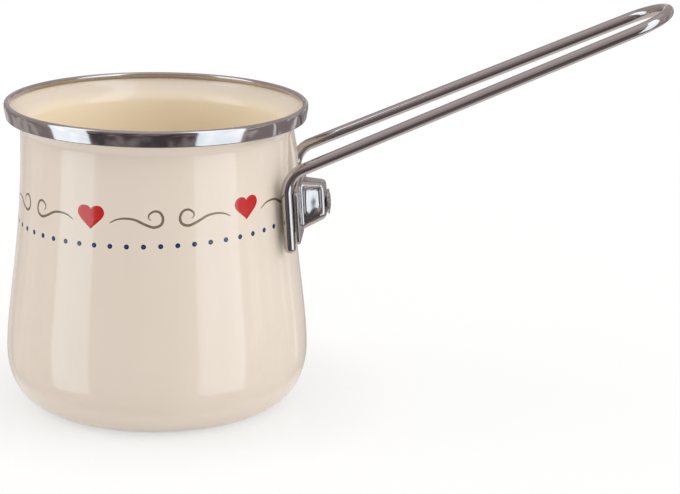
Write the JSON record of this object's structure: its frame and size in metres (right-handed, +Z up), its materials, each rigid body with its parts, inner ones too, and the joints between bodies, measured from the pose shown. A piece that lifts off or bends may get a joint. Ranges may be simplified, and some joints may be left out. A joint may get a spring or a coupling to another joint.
{
  "type": "coffee pot",
  "caption": "Small open enamelled coffee pot with a bellied body, a folded steel rim ring and a rising hairpin wire handle on a screwed bracket.",
  "frame": {"origin": "centre of the flat base, on the pot's axis, where it stands on the table", "axes": "+Z up along the pot's axis, +X out along the handle"},
  "size_m": [0.2095, 0.0974, 0.1323],
  "materials": {
    "enamel": "glossy cream vitreous enamel on sheet steel",
    "stainless": "polished stainless steel",
    "zinc_steel": "zinc-plated steel"
  },
  "bodies": {
    "root": {"pot_body": "enamel", "handle_pad": "enamel", "rim_ring": "stainless", "handle_bracket": "stainless", "wire_handle": "stainless", "washer": "stainless", "screw": "stainless", "threaded_boss": "zinc_steel"}
  },
  "joints": []
}
